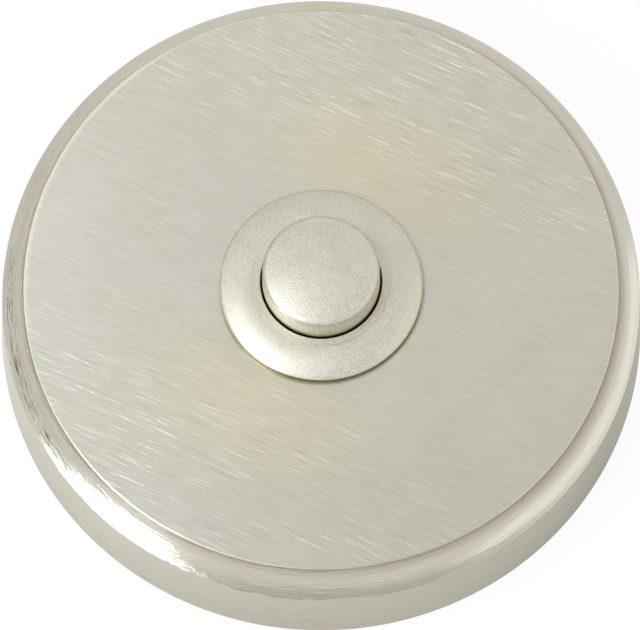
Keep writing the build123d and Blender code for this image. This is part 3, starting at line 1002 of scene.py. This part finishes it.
# FLOOR AND LIGHT
# A white table in a white tent, one broad soft light that stands on the left, towards the front, and two
# weak ones. Sizes are in metres, and right and back are as the camera sees them.
VIEW_AZIMUTH = math.radians(25.5)
VIEW_ELEVATION = math.radians(69.9)
TABLE_HALF_WIDTH = 3.0
TABLE_DROP = 0.0002
TABLE_GLOW = 1.06
TABLE_GLOW_COLOUR = (1, 0.965, 0.895)
TABLE_SHADE = 0.46
TABLE_SHADE_SIDE = (-0.05, 0.05)
TABLE_SHADE_REACH = (0.05, 0.12)
TABLE_CONTACT_REACH = (0.0333, 0.0375)
TABLE_CONTACT_SHADE = (0.90, 1.02)
PAPER_COLOUR = (0.8, 0.8, 0.8, 1)
WHITE = (1, 1, 1)
view_right = Vector((math.cos(VIEW_AZIMUTH), math.sin(VIEW_AZIMUTH), 0))
view_back = Vector((-math.sin(VIEW_AZIMUTH), math.cos(VIEW_AZIMUTH), 0))
to_lens = -math.cos(VIEW_ELEVATION) * view_back + Vector((0, 0, math.sin(VIEW_ELEVATION)))
table_top = bmesh.new()
bmesh.ops.create_grid(table_top, x_segments=1, y_segments=1, size=TABLE_HALF_WIDTH)
table_mesh = bpy.data.meshes.new("table")
table_top.to_mesh(table_mesh)
table_top.free()
table = placed("table", table_mesh)
table.location.z = -TABLE_DROP


def background_rays(tree, to_camera, off_metal):
    """How much of the white background the camera's rays and those off metal or through glass see."""
    rays = add_node(tree, "ShaderNodeLightPath").outputs
    bent = math_node(tree, "MAXIMUM", rays["Is Glossy Ray"], rays["Is Transmission Ray"])
    seen = product(tree, rays["Is Camera Ray"], to_camera)
    return math_node(tree, "MAXIMUM", seen, product(tree, bent, off_metal))


table_white = bpy.data.materials.new("white_table")
table_white.use_nodes = True
tree = table_white.node_tree
tree.nodes.clear()
paper = add_node(tree, "ShaderNodeBsdfDiffuse", None, {"Color": PAPER_COLOUR})
table_place = add_node(tree, "ShaderNodeTexCoord").outputs["Object"]
to_left = dot_product(tree, table_place, -view_right)
from_middle = length_of(tree, table_place)
shade = product(
    tree, smooth_step(tree, to_left, TABLE_SHADE_SIDE, (TABLE_SHADE, 0.0)),
    smooth_step(tree, from_middle, TABLE_SHADE_REACH, (1.0, 0.0)),
)
contact = smooth_step(tree, from_middle, TABLE_CONTACT_REACH, TABLE_CONTACT_SHADE)
camera_rays = add_node(tree, "ShaderNodeLightPath").outputs["Is Camera Ray"]
reflected = product(tree, math_node(tree, "SUBTRACT", TABLE_GLOW, shade), contact)
glow = add_node(
    tree, "ShaderNodeEmission", None,
    {
        "Color": mixed(tree, camera_rays, TABLE_GLOW_COLOUR, WHITE),
        "Strength": math_node(tree, "MAXIMUM", reflected, camera_rays),
    },
)
background = background_rays(tree, to_camera=0.92, off_metal=0.7)
shown = add_node(
    tree, "ShaderNodeMixShader", None, {0: background, 1: paper.outputs[0], 2: glow.outputs[0]}
)
add_node(tree, "ShaderNodeOutputMaterial", None, {0: shown.outputs[0]})
table.data.materials.append(table_white)


def soft_light(name, right, back, up, width, height, brightness, tint=WHITE, roll=0.0):
    """A soft light, placed as seen by the camera, aimed at the object and rolled by degrees."""
    lamp = bpy.data.lights.new(name, "AREA")
    lamp.shape = "RECTANGLE"
    lamp.size = width
    lamp.size_y = height
    lamp.energy = brightness * math.pi * width * height
    lamp.color = tint
    light = bpy.data.objects.new(name, lamp)
    bpy.context.scene.collection.objects.link(light)
    light.location = view_right * right + view_back * back + Vector((0, 0, up))
    aimed = (-light.location).to_track_quat("-Z", "Y") @ Quaternion((0, 0, 1), math.radians(roll))
    light.rotation_euler = aimed.to_euler()
    light.visible_camera = False


soft_light(
    "left_window", right=-1.28, back=-0.78, up=1.30, width=0.70, height=2.6, brightness=7.2,
    tint=(0.87, 0.93, 1.01), roll=18,
)
soft_light("ceiling", right=0.10, back=0.70, up=1.00, width=0.8, height=0.8, brightness=0.22)
soft_light(
    "right_window", right=0.66, back=-0.08, up=0.56, width=1.1, height=0.6, brightness=0.5,
    tint=(0.97, 0.99, 1.0),
)

# TENT
# White cloth all round the table. It is a little dimmer overhead and at the hole for the lens, has a dark
# seam low on the left, and is slightly warm at the back. Metal shows it, and so does the background.
TENT_LIGHT = 0.8
TENT_RISE = (0.35, 0.9)
TENT_WHITE = (1.03, 0.89)
SEAM_TOWARDS_BACK = 0.2
SEAM_SIDE = (0.6, 0.95)
SEAM_RISE = (0.05, 0.28)
SEAM_DARKNESS = 0.5
LENS_HOLE = (0.85, 0.98)
LENS_HOLE_DARKNESS = 0.2
BACK_COLOUR = (0.99, 0.975, 0.93)
BACK_SPAN = (0.45, 0.8)
world = bpy.data.worlds.new("tent")
bpy.context.scene.world = world
world.use_nodes = True
tree = world.node_tree
tree.nodes.clear()
toward = add_node(tree, "ShaderNodeTexCoord").outputs["Generated"]
rise = parts_of(tree, toward)[2]
left_side = dot_product(tree, toward, -view_right + view_back * SEAM_TOWARDS_BACK)
seam = product(
    tree, smooth_step(tree, left_side, SEAM_SIDE, (0.0, SEAM_DARKNESS)),
    smooth_step(tree, rise, SEAM_RISE, (1.0, 0.0)),
)
lens_hole = smooth_step(tree, dot_product(tree, toward, to_lens), LENS_HOLE, (0.0, LENS_HOLE_DARKNESS))
warmth = smooth_step(tree, dot_product(tree, toward, view_back), BACK_SPAN)
white = math_node(
    tree, "SUBTRACT", smooth_step(tree, rise, TENT_RISE, TENT_WHITE), math_node(tree, "ADD", seam, lens_hole)
)
tent = add_node(tree, "ShaderNodeBackground", None, {"Color": (*WHITE, 1), "Strength": TENT_LIGHT})
backdrop = add_node(
    tree, "ShaderNodeBackground", None,
    {"Color": mixed(tree, warmth, WHITE, BACK_COLOUR), "Strength": white},
)
background = background_rays(tree, to_camera=1.0, off_metal=1.0)
shown = add_node(
    tree, "ShaderNodeMixShader", None, {0: background, 1: tent.outputs[0], 2: backdrop.outputs[0]}
)
add_node(tree, "ShaderNodeOutputWorld", None, {0: shown.outputs[0]})

# CAMERA
# A long lens, high above the front of the object.
IMAGE_SIZE = (640, 630)
PIXELS_PER_MM = 9.694
VIEW_DISTANCE = 0.9
FACE_CENTRE_AT = (321.1, 286.7)
SENSOR = 36.0
camera_data = bpy.data.cameras.new("camera")
camera = bpy.data.objects.new("camera", camera_data)
bpy.context.scene.collection.objects.link(camera)
bpy.context.scene.camera = camera
view_up = to_lens.cross(view_right)
off_right = (FACE_CENTRE_AT[0] - IMAGE_SIZE[0] / 2) / PIXELS_PER_MM * MM
off_up = (IMAGE_SIZE[1] / 2 - FACE_CENTRE_AT[1]) / PIXELS_PER_MM * MM
aim = Vector((0, 0, COVER_HEIGHT * MM)) - view_right * off_right - view_up * off_up
facing = Matrix((view_right, view_up, to_lens)).transposed().to_4x4()
camera.matrix_world = Matrix.Translation(aim + to_lens * VIEW_DISTANCE) @ facing
camera_data.sensor_width = SENSOR
camera_data.sensor_fit = "HORIZONTAL"
camera_data.lens = PIXELS_PER_MM / MM * VIEW_DISTANCE / IMAGE_SIZE[0] * SENSOR
camera_data.clip_end = 20
bpy.context.scene.view_settings.view_transform = "Standard"
